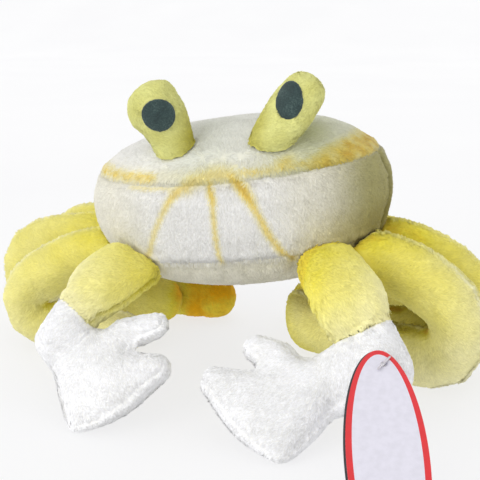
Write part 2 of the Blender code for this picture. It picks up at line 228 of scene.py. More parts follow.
def node_shape(name, grow=0.0):
    """Welded copy of a CAD node, moved outward by grow."""
    shape = bmesh.new()
    shape.from_mesh(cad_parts[name].data)
    bmesh.ops.remove_doubles(shape, verts=shape.verts, dist=WELD)
    shape.normal_update()
    for vert in shape.verts:
        vert.co += vert.normal * grow
    return shape


def tree_of(names):
    """Search tree over the surfaces of the named CAD nodes."""
    points, faces = [], []
    for name in names:
        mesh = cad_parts[name].data
        start = len(points)
        points.extend(vert.co.copy() for vert in mesh.vertices)
        faces.extend([start + i for i in face.vertices] for face in mesh.polygons)
    return BVHTree.FromPolygons(points, faces)


def distance_from(names, points):
    """Distance from each point to the surfaces of the named CAD nodes."""
    tree = tree_of(names)
    return np.array([tree.find_nearest(Vector(point))[3] for point in points])


def blank_form(name, kind, nodes):
    """Closed, even mesh round the given nodes, with the gaps between them closed."""
    cell, smoothing, _ = MESHES[kind]
    whole = bmesh.new()
    for part in nodes:
        spare = mesh_of(node_shape(part, GAP_CLOSER), part)
        whole.from_mesh(spare)
        bpy.data.meshes.remove(spare)
    thing = new_object(name, mesh_of(whole, name))
    remesh = thing.modifiers.new("even mesh", "REMESH")
    remesh.mode = "VOXEL"
    remesh.voxel_size = cell * MM
    apply_modifiers(thing)
    if not thing.data.polygons:
        raise RuntimeError(f"{name}: the even mesh round {nodes} is empty")
    relax(thing.data, smoothing)
    return thing


def sink(thing, nodes, depth, press):
    """Moves the surface in by the coat's depth, but out by press where it touches another piece."""
    mesh = thing.data
    points, normals = points_of(mesh), normals_of(mesh)
    tree = tree_of([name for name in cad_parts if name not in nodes])
    found = [tree.find_nearest(Vector(point)) for point in points]
    away = np.array([distance for _, _, _, distance in found])
    facing = -dot(normals, np.array([normal for _, normal, _, _ in found]))[:, 0]
    facing = ease(0.0, 0.6, facing)
    touch = ease(*TOUCH, away) * facing
    move = press * touch - depth * (1 - touch) - GAP_CLOSER
    set_points(mesh, points + normals * move[:, None])
    store(mesh, "touch", touch)
    store(mesh, "hidden", ease(*HIDE, away) * facing)


def stuff(thing, pinned, pressure, most):
    """Inflates the piece as cloth held at its pinned points, and keeps every point within most."""
    mesh = thing.data
    start = points_of(mesh)
    set_points(mesh, start * SIM_SCALE)
    group = thing.vertex_groups.new(name="pinned")
    for index, weight in enumerate(pinned):
        group.add([index], float(weight), "REPLACE")
    cloth = thing.modifiers.new("stuffing", "CLOTH")
    rules = cloth.settings
    rules.quality = 5
    rules.mass = 0.1
    rules.tension_stiffness = rules.compression_stiffness = 8
    rules.shear_stiffness = 5
    rules.bending_stiffness = 0.4
    rules.use_pressure = True
    rules.uniform_pressure_force = pressure
    rules.shrink_min = -0.03
    rules.vertex_group_mass = "pinned"
    rules.effector_weights.gravity = 0
    for number in range(1, SIM_FRAMES + 1):
        bpy.context.scene.frame_set(number)
    apply_modifiers(thing)
    bpy.context.scene.frame_set(1)
    thing.vertex_groups.clear()
    mesh = thing.data
    move = points_of(mesh) / SIM_SCALE - start
    length = np.linalg.norm(move, axis=1, keepdims=True)
    move *= np.minimum(1, most / np.maximum(length, 1e-9))
    set_points(mesh, start + move)


def measure_reach(mesh, root):
    """Stores each vertex's distance over the surface from the vertex nearest to root, in metres."""
    points = points_of(mesh)
    a, b = edges_of(mesh)
    lengths = np.linalg.norm(points[a] - points[b], axis=1)
    links = [[] for _ in points]
    for i, j, length in zip(a.tolist(), b.tolist(), lengths.tolist()):
        links[i].append((j, length))
        links[j].append((i, length))
    reach = [math.inf] * len(points)
    first = int(np.argmin(((points - np.array(root)) ** 2).sum(1)))
    reach[first] = 0.0
    queue = [(0.0, first)]
    while queue:
        so_far, i = heapq.heappop(queue)
        if so_far > reach[i]:
            continue
        for j, length in links[i]:
            if so_far + length < reach[j]:
                reach[j] = so_far + length
                heapq.heappush(queue, (reach[j], j))
    values = np.minimum(np.array(reach), 1.0)[:, None]
    for _ in range(6):
        values += 0.7 * (neighbour_mean(mesh, values) - values)
    store(mesh, "reach", values[:, 0])


def share_of(mesh):
    """The stored reach, as a share of the furthest."""
    reach = stored(mesh, "reach")
    return reach / reach.max()


def along_reach(mesh):
    """Direction in which the stored reach grows, one vector per vertex."""
    points, reach = points_of(mesh), stored(mesh, "reach")
    a, b = edges_of(mesh)
    step = points[b] - points[a]
    pull = step * ((reach[b] - reach[a]) / np.maximum((step**2).sum(1), 1e-12))[:, None]
    total = [np.bincount(a, c, len(points)) + np.bincount(b, c, len(points)) for c in pull.T]
    slope = np.stack(total, 1)
    for _ in range(3):
        slope = 0.5 * slope + 0.5 * neighbour_mean(mesh, slope)
    return unit(slope)


def unwrap(thing):
    """Lays the surface flat in islands, as its sewing pattern."""
    thing.data.uv_layers.new(name="Pattern")
    bpy.ops.object.select_all(action="DESELECT")
    bpy.context.view_layer.objects.active = thing
    thing.select_set(True)
    bpy.ops.object.mode_set(mode="EDIT")
    bpy.ops.mesh.select_all(action="SELECT")
    bpy.ops.uv.smart_project(angle_limit=math.radians(60), island_margin=0.01)
    bpy.ops.object.mode_set(mode="OBJECT")


def refine(thing, levels):
    """Divides the faces for a round surface."""
    finer = thing.modifiers.new("finer", "SUBSURF")
    finer.levels = finer.render_levels = levels
    apply_modifiers(thing)
    thing.data.polygons.foreach_set("use_smooth", np.ones(len(thing.data.polygons), bool))


def sew(name, kind, nodes, root, settings, pins=None):
    """One stuffed skin in place of its CAD nodes, ready for seams and coat."""
    thing = blank_form(name, kind, nodes)
    sink(thing, nodes, settings.coat_depth, settings.press)
    held = stored(thing.data, "touch")
    if pins is not None:
        held = np.maximum(held, pins(points_of(thing.data)))
    stuff(thing, held, settings.pressure, settings.most_puff)
    measure_reach(thing.data, root)
    unwrap(thing)
    refine(thing, MESHES[kind][2])
    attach(thing, "root")
    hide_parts(*nodes)
    return thing


def ripples(points, wave):
    """Uneven waves over the surface, from -1 to 1, with crests about wave apart."""
    x, y, z = points.T * (2 * math.pi / wave)
    return (
        np.sin(x + 1.3 * np.sin(0.61 * y))
        + np.sin(0.83 * y + 1.1 * np.sin(0.73 * z) + 2.0)
        + np.sin(0.91 * z + 1.2 * np.sin(0.57 * x) + 4.0)
    ) / 3


def seam_profile(away, settings):
    """Height of the cloth beside a seam: a groove, and a soft lip on each side."""
    depth = settings.seam_depth
    return -depth * bump_of(away, 0, 1.0 * MM) + 0.35 * depth * bump_of(away, 3.0 * MM, 1.8 * MM)


# --- coat ---


LENGTHS = (0.7, 1.2)  # shortest and longest tuft, and narrowest and widest, as shares of the usual
LIFTS = (0.6, 1.15)  # flattest and highest
HEEL = 0.25 * MM  # depth of a tuft's root in the skin
LOCK_SIDES = ((0, 1, 3), (0, 3, 2), (4, 3, 1), (4, 2, 3))  # of heel, two corners, ridge and tip


def grow_coat(name, skin, settings, kind, nap, seed, scale=1.0, keep=None, stand=None):
    """Plush tufts over a skin: thin ridged locks that lie along the nap.

    scale is their size, keep the share of them on each vertex, and stand how much higher they stand.
    """
    rng = np.random.default_rng(seed)
    mesh = skin.data
    set_points(mesh, on_floor(points_of(mesh)))
    mesh.calc_loop_triangles()
    points, normals = points_of(mesh), normals_of(mesh)
    corners = read(mesh.loop_triangles, "vertices", 3, np.int32)
    loops = read(mesh.loop_triangles, "loops", 3, np.int32)
    a, b, c = (points[corners[:, i]] for i in range(3))
    area = np.linalg.norm(np.cross(b - a, c - a), axis=1) / 2
    covered = 1 - stored(mesh, "hidden")
    if keep is not None:
        covered = covered * keep
    wanted = area * covered[corners].mean(1) * settings.tufts_per_mm2 / scale / MM**2
    count = np.floor(wanted + rng.random(len(wanted))).astype(int)
    chosen = np.repeat(np.arange(len(corners)), count)
    number = len(chosen)
    if not number:
        raise RuntimeError(f"{name}: no place for a tuft")
    share = rng.random((number, 2))
    share = np.where(share.sum(1, keepdims=True) > 1, 1 - share, share)
    weights = np.column_stack((1 - share.sum(1), share))[..., None]

    def at_roots(values):
        rows = values[corners[chosen]]
        return (rows.reshape(number, 3, -1) * weights).sum(1)

    root, normal = at_roots(points), unit(at_roots(normals))
    way = at_roots(nap)
    way = unit(way - normal * dot(way, normal))
    turn = rng.normal(0, settings.stray, (number, 1)) + 0.3 * ripples(root, 9 * MM)[:, None]
    across = np.cross(normal, way)
    way = way * np.cos(turn) + across * np.sin(turn)
    across = np.cross(normal, way)
    length = settings.coat_length * scale * rng.uniform(*LENGTHS, (number, 1))
    lift = settings.coat_lift * scale * rng.uniform(*LIFTS, (number, 1))
    lift = lift * (1 + 0.25 * ripples(root + 0.02, 4 * MM)[:, None])
    if stand is not None:
        lift = lift * (1 + at_roots(stand))
    half = settings.coat_width * math.sqrt(scale) / 2 * rng.uniform(*LENGTHS, (number, 1))
    # a tuft is highest and widest before its middle, and its tip droops
    ridge = root + way * length * 0.4 + normal * lift
    beside = root + way * length * 0.45 + normal * lift * 0.1
    heel = root - normal * HEEL
    tip = root + way * length + normal * lift * 0.3
    lock = np.stack((heel, beside - across * half, beside + across * half, ridge, tip), 1)
    first = np.arange(number)[:, None] * 5
    triangles = np.concatenate([first + side for side in LOCK_SIDES], 1).reshape(-1, 3)
    lock[..., 2] = np.maximum(lock[..., 2], COAT_REST)
    made = mesh_from(name, lock.reshape(-1, 3), triangles)

    tilt = rng.normal(0, settings.glint, (number, 1))
    tilt += 0.5 * settings.glint * ripples(root, 2.5 * MM)[:, None]
    level = normal + across * tilt + way * rng.normal(0, settings.glint, (number, 1))
    leans = np.stack((-way, -across, across, way * 0.2, way), 1) * settings.roundness
    lie = unit(level[:, None] + leans).reshape(-1, 3)
    made.normals_split_custom_set_from_vertices(lie.astype(np.float32))
    store(made, "dye", np.repeat(at_roots(stored(mesh, "dye"))[:, 0], 5))
    mottle = 1 + rng.normal(0, settings.mottle, (number, 1))
    store(made, "tint", np.repeat(at_roots(stored(mesh, "tint")) * mottle, 5, axis=0))
    pattern = read(mesh.uv_layers["Pattern"].uv, "vector", 2)
    place = (pattern[loops[chosen]] * weights).sum(1)
    patch = np.array(((-1, 0), (0, -1), (0, 1), (0, 0), (1, 0))) * settings.patch / 2
    corner_uv = (place[:, None] + patch).reshape(-1, 2)[triangles.ravel()]
    made.uv_layers.new(name="OFBake").uv.foreach_set("vector", corner_uv.astype(np.float32).ravel())
    thing = new_object(name, made)
    slot, _, pile = finishes(kind)
    dress(thing, pile)
    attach(thing, "root")


# --- materials ---


def rgb(red, green, blue):
    """Linear colour from 0-255 screen values."""
    made = [
        c / 255 / 12.92 if c < 11 else ((c / 255 + 0.055) / 1.055) ** 2.4 for c in (red, green, blue)
    ]
    return (*made, 1.0)


def node(tree, kind, **values):
    made = tree.nodes.new(kind)
    for name, value in values.items():
        setattr(made, name, value)
    return made


def blank_material(name):
    finish = bpy.data.materials.new(name)
    finish.use_nodes = True
    return finish, finish.node_tree, finish.node_tree.nodes["Principled BSDF"]


def noise_of(tree, scale, detail, where):
    made = node(tree, "ShaderNodeTexNoise")
    made.inputs["Scale"].default_value = scale
    made.inputs["Detail"].default_value = detail
    tree.links.new(where.outputs["Object"], made.inputs["Vector"])
    return made


def ramp_of(tree, stops, source):
    ramp = node(tree, "ShaderNodeValToRGB")
    while len(ramp.color_ramp.elements) < len(stops):
        ramp.color_ramp.elements.new(0.5)
    for element, (place, colour) in zip(ramp.color_ramp.elements, stops):
        element.position = place
        element.color = colour
    tree.links.new(source, ramp.inputs["Fac"])
    return ramp


def mix_of(tree, mode, share, first, second):
    mix = node(tree, "ShaderNodeMix", data_type="RGBA", blend_type=mode)
    for socket, value in zip((mix.inputs[0], mix.inputs[6], mix.inputs[7]), (share, first, second)):
        if isinstance(value, bpy.types.NodeSocket):
            tree.links.new(value, socket)
        else:
            socket.default_value = value
    return mix.outputs[2]


def add_relief(tree, shader, height, strength, distance):
    relief = node(tree, "ShaderNodeBump")
    relief.inputs["Strength"].default_value = strength
    relief.inputs["Distance"].default_value = distance
    tree.links.new(height.outputs["Fac"], relief.inputs["Height"])
    tree.links.new(relief.outputs["Normal"], shader.inputs["Normal"])


def set_shader(shader, **values):
    """Sets a shader's sockets, named with underscores for spaces."""
    for name, value in values.items():
        shader.inputs[name.replace("_", " ")].default_value = value


def plush(name, stops, sheen, bump):
    """Short pile: airbrushed dye over a base colour, uneven shade, soft sheen and fine bump; the backing
    under the tufts also carries painted shade.
    """
    finish, tree, shader = blank_material(name)
    where = node(tree, "ShaderNodeTexCoord")
    dye = node(tree, "ShaderNodeAttribute", attribute_name="dye")
    speck = noise_of(tree, SPECKS, 2, where)
    cloud = noise_of(tree, CLOUDS, 3, where)
    wander = node(tree, "ShaderNodeMath", operation="MULTIPLY_ADD")
    tree.links.new(speck.outputs["Fac"], wander.inputs[0])
    wander.inputs[1].default_value = DYE_WANDER
    wander.inputs[2].default_value = -DYE_WANDER / 2
    uneven = node(tree, "ShaderNodeMath", operation="MULTIPLY_ADD")
    tree.links.new(wander.outputs[0], uneven.inputs[0])
    tree.links.new(dye.outputs["Fac"], uneven.inputs[1])
    tree.links.new(dye.outputs["Fac"], uneven.inputs[2])
    colour = ramp_of(tree, stops, uneven.outputs[0]).outputs["Color"]
    tint = node(tree, "ShaderNodeAttribute", attribute_name="tint")
    colour = mix_of(tree, "MULTIPLY", 1.0, colour, tint.outputs["Vector"])
    soft = ramp_of(tree, ((0.3, rgb(243, 243, 241)), (0.7, rgb(255, 255, 255))), cloud.outputs["Fac"])
    colour = mix_of(tree, "MULTIPLY", 1.0, colour, soft.outputs["Color"])
    if bump:
        # painted shade of the backing cloth between the tufts
        colour = mix_of(tree, "MULTIPLY", 1.0, colour, rgb(*PAINTED_PILE_SHADE))
    tree.links.new(colour, shader.inputs["Base Color"])
    set_shader(shader, Roughness=0.85, Specular_IOR_Level=0.2, Sheen_Weight=sheen, Sheen_Roughness=0.5)
    if bump:
        add_relief(tree, shader, noise_of(tree, PILE, 3, where), bump, 0.3 * MM)
    return finish


PAINTED_PILE_SHADE = (245, 244, 240)  # painted shade on the backing cloth, deep between the tufts
SPECKS, CLOUDS, PILE = 420, 60, 1400  # scales of the plush's noises, in cells to a metre
DYE_WANDER = 0.16  # how much the dye's strength changes from place to place, as a share of it
PLUSHES = {  # slot, sheen, and colours from no dye to the most
    "white plush": (
        "white_plush",
        0.2,
        ((0.0, (238, 237, 233)), (0.35, (238, 229, 184)), (0.7, (236, 212, 118)), (1.0, (214, 170, 58))),
    ),
    "claw plush": ("claw_plush", 0.25, ((0.0, (250, 250, 252)), (1.0, (236, 232, 220)))),
    "yellow plush": (
        "yellow_plush",
        0.08,
        ((0.0, (250, 245, 200)), (0.4, (246, 238, 150)), (0.75, (236, 223, 76)), (1.0, (240, 184, 24))),
    ),
    "stalk plush": ("yellow_plush", 0.08, ((0.0, (228, 228, 150)), (1.0, (188, 178, 50)))),
}


def finishes(kind):
    """(slot, skin material, coat material) of a plush, made once."""
    slot, sheen, stops = PLUSHES[kind]
    if kind not in bpy.data.materials:
        stops = [(place, rgb(*colour)) for place, colour in stops]
        plush(kind, stops, sheen, bump=0.35)
        plush(f"{kind} coat", stops, sheen, bump=0)
    return slot, bpy.data.materials[kind], bpy.data.materials[f"{kind} coat"]


def dress(thing, finish):
    thing.data.materials.clear()
    thing.data.materials.append(finish)


def clothe(skin, kind, dye, tint):
    """Dyes a sewn skin and gives it its plush."""
    store(skin.data, "dye", np.clip(dye, 0, 1))
    store(skin.data, "tint", np.broadcast_to(tint, (len(dye), 3)))
    slot, backing, _ = finishes(kind)
    dress(skin, backing)


# --- shell ---

BELLY_SEAM = -31.5  # in mm, as everything in the shell's own frame
LINES = (  # airbrushed lines over the face: half width, strength, and places across and up
    (1.15, 0.56, ((-1.9, 10.5), (-1.0, 1.6), (-1.8, -10), (-2.4, -22), (-2.2, -31))),
    (1.3, 0.46, ((-13, 9.5), (-21.3, 4), (-26.8, -2.7), (-33.4, -12.9), (-38.2, -21.7), (-42, -28))),
    (1.55, 0.66, ((7.6, 12), (12.6, 7.2), (17, -0.4), (20.3, -9.2), (23.6, -18.3), (27, -25.8), (32, -32))),
    (2.2, 0.5, ((-14, 8.6), (-10.6, 10.6), (-3.6, 12.4), (1.9, 12.8), (7.4, 12.4), (10.4, 11))),
)
SEAM_SHARES = (0.7, 0.6, 1.3)  # depth of the upper, lower and side seams, as shares of the usual


def in_shell(points):
    """Places in the shell's own frame, in mm: x across, y to the back, z up."""
    x, y, z = (points - np.array(SHELL_MIDDLE)).T / MM
    lean, rise = math.cos(SHELL_ROLL), math.sin(SHELL_ROLL)
    return x * lean + z * rise, y, -x * rise + z * lean


def top_seam(x):
    return 8.3 + 2.9 * (x / 70) ** 2


def side_seam(y, z):
    return y + 7.0 - 0.08 * z


def shell_seams(points):
    """Distance in metres to the upper, lower and side seams."""
    x, y, z = in_shell(points)
    upper = np.abs(z - top_seam(x))
    lower = np.abs(z - BELLY_SEAM)
    side = np.abs(side_seam(y, z))
    between = (z < top_seam(x) + 1) & (z > BELLY_SEAM - 1)
    side = np.where(between, side, FAR)
    return upper * MM, lower * MM, side * MM


def shell_pins(points):
    return ease(4.0 * MM, 1.5 * MM, np.minimum.reduce(shell_seams(points)))


def from_line(x, z, places):
    """Distance from each (x, z) to a line through places."""
    least = np.full(len(x), 1e9)
    for (x0, z0), (x1, z1) in zip(places, places[1:]):
        run, rise = x1 - x0, z1 - z0
        share = np.clip(((x - x0) * run + (z - z0) * rise) / (run**2 + rise**2), 0, 1)
        least = np.minimum(least, np.hypot(x - x0 - share * run, z - z0 - share * rise))
    return least


def shell_dye(points):
    x, y, z = in_shell(points)
    front = ease(-10, -30, y)
    wander = ripples(points, 9 * MM)
    dye = np.zeros(len(points))
    for half, strength, places in LINES:
        away = from_line(x + 0.5 * wander, z, places)
        soft = half * 1.25 * (1 + 0.45 * ease(-6, 8, z))
        strong = strength * (1 + 0.4 * bump_of(z, 4, 5))
        dye = np.maximum(dye, front * strong * bump_of(away, 0, soft))
    seam = top_seam(x)
    dapple = 0.78 + 0.2 * ripples(points, 5 * MM) + 0.25 * ripples(points + 0.01, 2.6 * MM)
    band = bump_of(z, seam + 3.8, 2.7) * ease(-24, -34, x) * 0.75 * dapple
    thin = bump_of(z, seam + 4.0, 2.0) * ease(8, 14, x) * ease(50, 40, x) * 0.66 * dapple
    spots = bump_of(z, seam + 6.0, 2.6) * bump_of(x, 33, 5) * 0.6
    high = 4.5 + 5.5 * ease(40, 66, x)
    patch = ease(36, 50, x) * ease(high + 5, high - 2, z - seam) * ease(-0.5, 1.5, z - seam)
    patch = patch * (0.74 + 0.24 * ripples(points, 9 * MM))
    edge = bump_of(z, seam - 1.3, 0.9) * ease(-14, -20, x) * ease(-48, -42, x) * 0.4
    faint = bump_of(z, seam + 4, 4) * 0.16
    for layer in (band, thin, spots, patch, edge, faint):
        dye = np.maximum(dye, layer)
    return dye


def shell_tint_and_painted_shade(points):
    """Casts over the white plush: cream to the left, cooler in the middle, a warmer belly, painted shade
    darker and warmer to the right, olive at the right end with a painted yellow reflection of the legs, and
    painted shade round the stalks.
    """
    x, y, z = in_shell(points)
    seam = top_seam(x)
    face = ease(1.0, -1.0, z - seam)
    casts = (
        (face * ease(-30, -60, x), (0.99, 0.97, 0.885)),
        (face * bump_of(x, -5, 26), (0.99, 0.992, 1.01)),
        # painted shade: the face darker to the right, olive at the right end with a painted yellow
        # reflection of the legs, and darker low on the right
        (face * ease(22, 46, x), (0.94, 0.92, 0.83)),
        (face * ease(44, 74, x) * (0.3 + 0.7 * ease(40, 0, y)), (0.5, 0.475, 0.23)),
        (face * ease(30, 60, x) * ease(-4, -26, z), (0.85, 0.8, 0.55)),
        (ease(BELLY_SEAM + 1, BELLY_SEAM - 2, z), (0.96, 0.935, 0.8)),
        # painted shade on the carapace: on its right, by the left stalk and at its right end; last, the
        # painted shadow of the right stalk
        ((1 - face) * bump_of(x, 44, 24) * ease(60, 0, y), (0.86, 0.88, 0.72)),
        ((1 - face) * bump_of(x, -8, 20) * ease(30, -20, y), (0.93, 0.95, 0.88)),
        ((1 - face) * ease(44, 62, x), (0.9, 0.9, 0.84)),
        ((1 - face) * bump_of(x, 40, 13) * bump_of(y, -24, 17), (0.68, 0.69, 0.47)),
    )
    tint = np.full((len(points), 3), 0.98)
    for share, cast in casts:
        tint *= 1 - share[:, None] * (1 - np.array(cast))
    # painted highlight along the seams' lips, and painted shade in their grooves
    lip = bump_of(z, seam - 0.9, 0.8) + bump_of(z, BELLY_SEAM + 1.2, 0.8)
    lip += bump_of(z, BELLY_SEAM - 2.5, 1.5)
    stitch = bump_of(z, seam, 0.5) + bump_of(z, BELLY_SEAM, 0.5)
    return tint * (1 + 0.04 * lip - 0.09 * stitch + 0.015 * ripples(points, 7 * MM))[:, None]


def shell_height(points, seams, settings):
    """How far the cloth stands out at each point: seams, puckers, lumps and fuller or flatter places."""
    x, y, z = in_shell(points)
    height = sum(share * seam_profile(away, settings) for share, away in zip(SEAM_SHARES, seams))
    full_left = ease(-40, -72, x) * bump_of(z, -6, 17)
    full_rump = ease(-1.0, 1.5, side_seam(y, z)) * ease(30, 60, x)
    height += 1.6 * MM * full_left + 0.5 * MM * full_rump
    pucker = ripples(points, 5 * MM) * bump_of(np.minimum.reduce(seams), 2.5 * MM, 2.5 * MM)
    height += settings.pucker * pucker + settings.lumps * ripples(points, 38 * MM)
    overhang = bump_of(z, BELLY_SEAM + 3.2, 2.4) - 0.8 * bump_of(z, BELLY_SEAM - 3.5, 3.0)
    height += 0.45 * MM * overhang
    flat_right, flat_belly = ease(44, 72, x), ease(BELLY_SEAM, BELLY_SEAM - 6, z)
    return height - 1.6 * MM * flat_right - 0.7 * MM * flat_belly


class CRAB_OT_sew_shell(bpy.types.Operator):
    """Skin, seams, airbrushed marks and coat of the shell."""

    bl_idname = "crab.sew_shell"
    bl_label = "Sew the shell"

    def execute(self, context):
        settings = context.scene.crab
        skin = sew("shell_skin", "shell", SHELL_NODES, SHELL_MIDDLE, settings, shell_pins)
        mesh = skin.data
        points, normals = points_of(mesh), normals_of(mesh)
        seams = shell_seams(points)
        set_points(mesh, points + normals * shell_height(points, seams, settings)[:, None])
        clothe(skin, "white plush", shell_dye(points), shell_tint_and_painted_shade(points))

        x, y, z = in_shell(points)
        nap = np.stack((0.12 * x / 60, np.full(len(x), 0.9), np.full(len(x), -1.0)), 1)
        stand = 0.9 * bump_of(np.minimum.reduce(seams), 0.8 * MM, 1.0 * MM)
        top, under, ahead = z > top_seam(x), z < BELLY_SEAM, side_seam(y, z) < 0
        panels = {
            "carapace": (top, 1.0),
            "face": (~top & ~under & ahead, 0.85),
            "rump": (~top & ~under & ~ahead, 1.0),
            "belly": (under, 1.0),
        }
        for number, (panel, (keep, scale)) in enumerate(panels.items()):
            grow_coat(f"{panel}_coat", skin, settings, "white plush", nap, 10 + number, scale, keep, stand)
        return {"FINISHED"}


# --- legs ---

LEGS = {  # heading of thigh and foot from straight out, in degrees to the back, and the foot's extra dye
    ("front", LEFT): ((1, -6), 0.3),
    ("middle", LEFT): ((6, -21), 0.6),
    ("rear", LEFT): ((19, 6), 0.6),
    ("front", RIGHT): ((-11, -28), 0.06),
    ("middle", RIGHT): ((-12, -11), 0.3),
    ("rear", RIGHT): ((29, 7), 0.35),
}
THIGH_DYE = {LEFT: 0.3, RIGHT: 0.42}
LEG_SEAM = 0.9 * MM  # half width of the ridge along a leg's seam
LEG_ROUND = 14 * MM  # half a leg's thickness, by which a slope tells the distance from its seam
SEAM_ENDS = (0.04, 0.93)  # where the seam starts and ends, as shares of the leg's length

SHUT_LEG = ("front", LEFT)  # the leg whose fold is stuffed shut
SHUT_FOLD = Vector((-104.0, -10.0, 28.5)) * MM  # middle of that fold
SHUT_BY = 6.0 * MM
CREASED_LEG = ("rear", LEFT)  # the leg with a crease across its foot
CREASE_X = -41.0  # place of the crease across the crab, in mm
CREASE_DEPTH = 1.8 * MM
RAISED_LEG = ("middle", RIGHT)  # the leg whose toe is off the floor
TOE_RISE = 0.4  # how much higher its toe is, as a share of its height


def leg_across(side, ways, share):
    """Level direction across a leg, turning from thigh to foot."""
    way = np.radians(ways[0] + (ways[1] - ways[0]) * ease(0.4, 0.65, share))
    return np.stack((np.sin(way), -SIDES[side] * np.cos(way), np.zeros(len(way))), 1)


def from_crease(points, leg):
    """Distance in mm past the crease across a foot, or a long way where there is none."""
    if leg != CREASED_LEG:
        return np.full(len(points), FAR)
    return (points[:, 0] - ORIGIN.x) / MM - CREASE_X


def leg_height(points, normals, leg, away, past, settings):
    """How far the cloth stands out at each point: seam ridge, lumps, puckers, fold and crease."""
    height = 0.55 * MM * bump_of(away, 0, LEG_SEAM) - 0.25 * MM * bump_of(away, 2.4 * MM, 1.2 * MM)
    height += settings.lumps * 0.8 * ripples(points, 24 * MM)
    height += settings.pucker * 0.8 * ripples(points, 4.5 * MM) * bump_of(away, 2 * MM, 2 * MM)
    if leg == SHUT_LEG:
        inward = np.array(ORIGIN + SHUT_FOLD) - points
        facing = np.maximum(dot(normals, unit(inward))[:, 0], 0)
        height += SHUT_BY * facing * bump_of(np.linalg.norm(inward, axis=1), 0, 17 * MM)
    height -= CREASE_DEPTH * bump_of(past, 0, 2.6) * np.maximum(-normals[:, 1], 0)
    return height


def leg_colours(points, normals, leg, share, away, past):
    """(dye, tint): golden root and toe; paler shin, lightened as painted floor light; inside the bend,
    painted shade and deeper dye, partly a painted warm reflection; pale seam with a painted highlight.
    """
    crest = ease(-0.3, 0.9, normals[:, 2])
    low = ease(0.5, 0.8, share)
    seam = bump_of(away, 0, LEG_SEAM)
    dye = THIGH_DYE[leg[1]] + 0.42 * ease(0.72, 0.2, share) * (0.55 + 0.45 * crest)
    dye += 0.35 * ease(0.16, 0.04, share) + 0.3 * bump_of(share, 0.93, 0.04) * crest
    dye -= 0.34 * low + 0.05 * ripples(points, 17 * MM)
    dye += LEGS[leg][1] * ease(0.45, 0.85, share) + 0.3 * ease(0.84, 0.97, share)
    dye -= 0.28 * seam * ease(0.95, 0.85, share)
    middle = (points.min(0) + points.max(0)) / 2
    # inside of the bend: deeper dye, partly a painted warm reflection, and below a darker tint as painted
    # shade
    inner = ease(0.45, 0.95, dot(normals, unit(middle - points))[:, 0])
    dye += 0.45 * inner + 0.3 * bump_of(past, -6, 8)
    # a lighter tint low on the leg as painted floor light and on the seam as a painted highlight; then the
    # painted shade inside the bend
    tint = np.full((len(points), 3), 0.97) + 0.06 * low[:, None]
    tint += 0.06 * seam[:, None]
    tint *= 1 - 0.3 * inner[:, None]
    return dye, tint


class CRAB_OT_sew_legs(bpy.types.Operator):
    """Six stuffed legs, each with a seam along its back and its inner side."""

    bl_idname = "crab.sew_legs"
    bl_label = "Sew the legs"

    def execute(self, context):
        settings = context.scene.crab
        for number, (leg, (ways, _)) in enumerate(LEGS.items()):
            name = "leg_{}_{}".format(*leg)
            skin = sew(name, "leg", (f"{name}_thigh", f"{name}_foot"), SHELL_MIDDLE, settings)
            mesh = skin.data
            points, normals = points_of(mesh), normals_of(mesh)
            share = share_of(mesh)
            off = np.abs(dot(normals, leg_across(leg[1], ways, share)))[:, 0]
            seamed = (share >= SEAM_ENDS[0]) & (share <= SEAM_ENDS[1])
            away = np.where(seamed, off * LEG_ROUND, 9 * MM)
            past = from_crease(points, leg)
            points += normals * leg_height(points, normals, leg, away, past, settings)[:, None]
            if leg == RAISED_LEG:
                points[:, 2] *= 1 + TOE_RISE * ease(0.8, 0.93, share)
            set_points(mesh, points)
            clothe(skin, "yellow plush", *leg_colours(points, normals, leg, share, away, past))
            stand = 1.2 * bump_of(away, 0.2 * MM, 0.9 * MM)
            nap = along_reach(mesh)
            grow_coat(f"{name}_coat", skin, settings, "yellow plush", nap, 20 + number, stand=stand)
        return {"FINISHED"}


# --- arms, cuffs and claws ---

CLAW_PLANES = {  # two directions in the plane of each flat claw
    LEFT: ((0.96, -0.255, 0.092), (-0.14, -0.755, -0.64)),
    RIGHT: ((-0.988, -0.13, 0.076), (0.064, -0.822, -0.565)),
}
CLAW_EDGE = 7 * MM  # half a claw's thickness
CLAW_SEAM = 0.68  # how far the cloth faces out of the claw's plane where its seam runs, from 0 to 1
LEFT_CLAW_LEAN = 2.4 * MM  # how far the left claw's cuff leans out
CUFF_CORNER = (88.8, -67.3, 51.3)  # upper corner of the right cuff, in mm from the crab's place
CUFF_CORNER_IN = 4.6 * MM  # how far that corner is drawn in
CUFF_RIM_IN = 1.0 * MM  # how much slimmer each cuff is at its rim

ARM_SEAMS = {LEFT: (0.77, -0.52, -0.36), RIGHT: (-0.83, -0.2, -0.5)}  # side of the arm that its seam is on
ARM_SEAM = 1.4 * MM  # half width of the groove along an arm's seam
ARM_ROUND = 12 * MM  # half an arm's thickness
ARM_SHIFTS = {  # how far the root, the middle and the end of each arm sag, in mm
    LEFT: ((-2.5, 1.0, 0.0), (-5.4, 0.0, -1.2), (-3.0, 0.0, 0.0)),
    RIGHT: ((0.0, 0.0, 0.0), (-0.6, 0.0, -1.4), (-0.6, 0.0, 0.0)),
}
VIEW_RIGHT = (0.974, 0.228, 0.0)  # level, to the right as seen from the camera
ARM_NIPS = {LEFT: (0.0, 0.0), RIGHT: (4.2, 1.4)}  # mm by which an arm is slimmer on that side and the other
ARM_DYE = {LEFT: (0.54, 0.44, 0.12), RIGHT: (0.74, 0.6, 0.2)}  # base, drop towards the end, rise at the root
MOST_ARM_DYE = 0.8


def main_axis(points):
    """Direction in which the points spread the most."""
    spread = points - points.mean(0)
    return np.linalg.eigh(spread.T @ spread)[1][:, 2]


